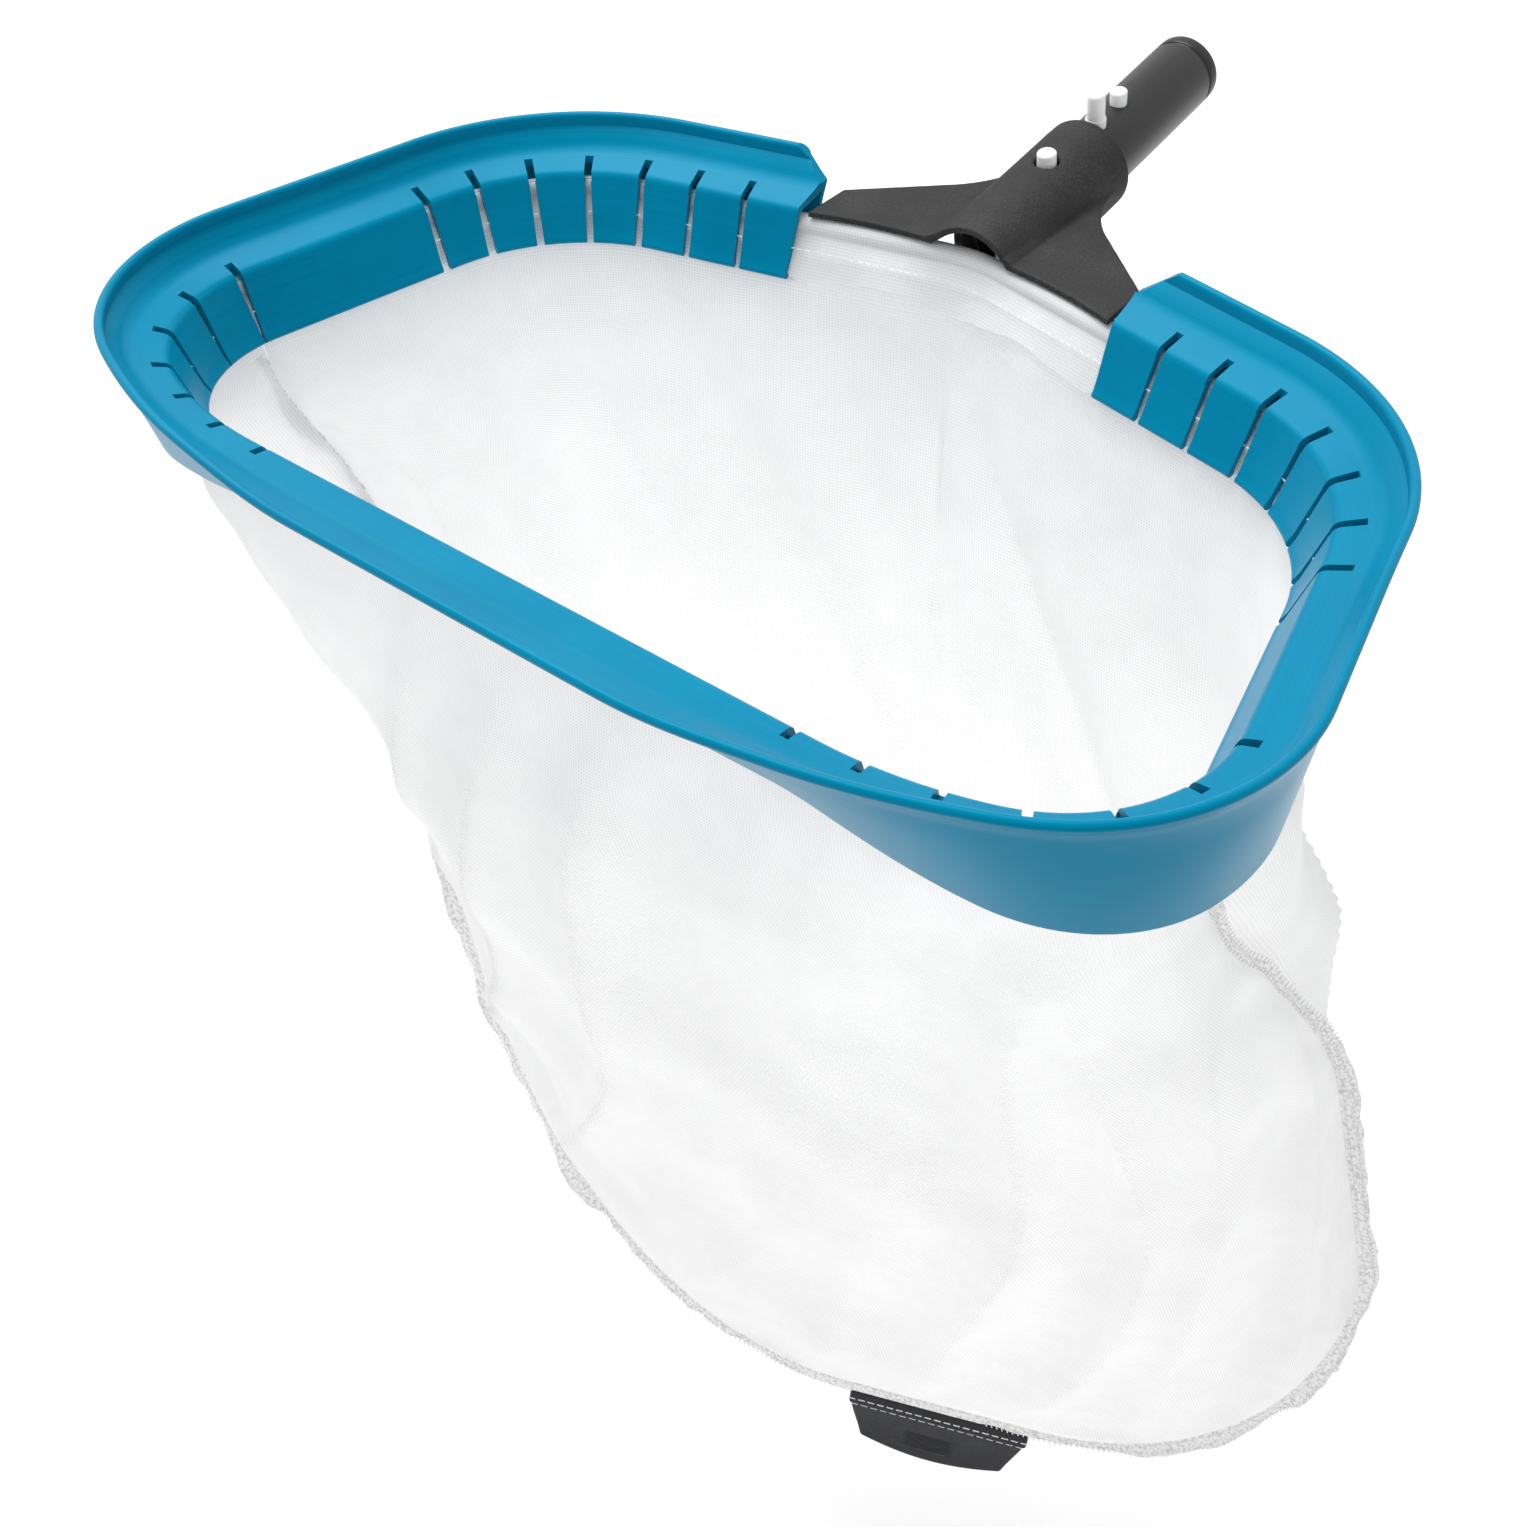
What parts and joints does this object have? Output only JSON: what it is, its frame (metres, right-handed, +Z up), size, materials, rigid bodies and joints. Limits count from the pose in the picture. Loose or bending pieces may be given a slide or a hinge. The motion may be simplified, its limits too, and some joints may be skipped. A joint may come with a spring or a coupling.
{
  "type": "leaf skimmer net",
  "caption": "Deep mesh bag hung from a D-shaped plastic scoop rim, with a yoke, a short handle tube for a pole, spring clips and a pull tab under the bag.",
  "frame": {"origin": "on the handle tube's centre line where it crosses the plane of the mouth, 75 mm behind the yoke's front edge", "axes": "+X along the scoop's straight front edge to its right as seen from the front, +Y from the front edge to the handle, +Z up out of the mouth"},
  "size_m": [0.4985, 0.4302, 0.5296],
  "materials": {
    "rim_plastic": "satin",
    "rod_aluminium": "drawn",
    "mesh_fabric": "fine woven mesh",
    "seam_tape": "speckled binding",
    "tab_vinyl": "fine ribbed vinyl",
    "yoke_nylon": "grained, glass filled",
    "tube_plastic": "satin",
    "pin_nylon": "satin",
    "screw_steel": "plated"
  },
  "bodies": {
    "skimmer": {"scoop_rim": "rim_plastic", "frame_rod": "rod_aluminium", "hem_sleeve": "mesh_fabric", "bag_front_panel": "mesh_fabric", "bag_back_panel": "mesh_fabric", "side_seam_right": "seam_tape", "side_seam_left": "seam_tape", "bottom_seam": "seam_tape", "tab_strip": "tab_vinyl", "yoke": "yoke_nylon", "clamp_plate": "yoke_nylon", "clamp_screw_1": "screw_steel", "clamp_screw_2": "screw_steel", "clamp_screw_3": "screw_steel", "clamp_screw_4": "screw_steel", "handle_tube": "tube_plastic", "collar_clip": "pin_nylon", "pole_clip": "pin_nylon"},
    "upper_collar_button": {"upper_collar_button": "pin_nylon"},
    "lower_collar_button": {"lower_collar_button": "pin_nylon"},
    "upper_pole_arm": {"upper_pole_arm": "pin_nylon"},
    "lower_pole_arm": {"lower_pole_arm": "pin_nylon"},
    "tab": {"pull_tab": "tab_vinyl"}
  },
  "joints": [
    {"name": "upper_collar_button_press", "type": "slide", "parent": "skimmer", "child": "upper_collar_button", "axis": [0, 0.1564, -0.9877], "range_m": [0, 0.0078], "stiffness_N_per_m": 1200},
    {"name": "lower_collar_button_press", "type": "slide", "parent": "skimmer", "child": "lower_collar_button", "axis": [0, -0.1564, 0.9877], "range_m": [0, 0.0078], "stiffness_N_per_m": 1200},
    {"name": "upper_pole_arm_press", "type": "slide", "parent": "skimmer", "child": "upper_pole_arm", "axis": [0, 0.1564, -0.9877], "range_m": [0, 0.006], "stiffness_N_per_m": 1200},
    {"name": "lower_pole_arm_press", "type": "slide", "parent": "skimmer", "child": "lower_pole_arm", "axis": [0, -0.1564, 0.9877], "range_m": [0, 0.006], "stiffness_N_per_m": 1200},
    {"name": "tab_flap", "type": "hinge", "parent": "skimmer", "child": "tab", "pos_m": [0.13916, -0.25737, -0.45808], "axis": [0.9118, 0.406, -0.0611], "range_deg": [-50, 50]}
  ]
}
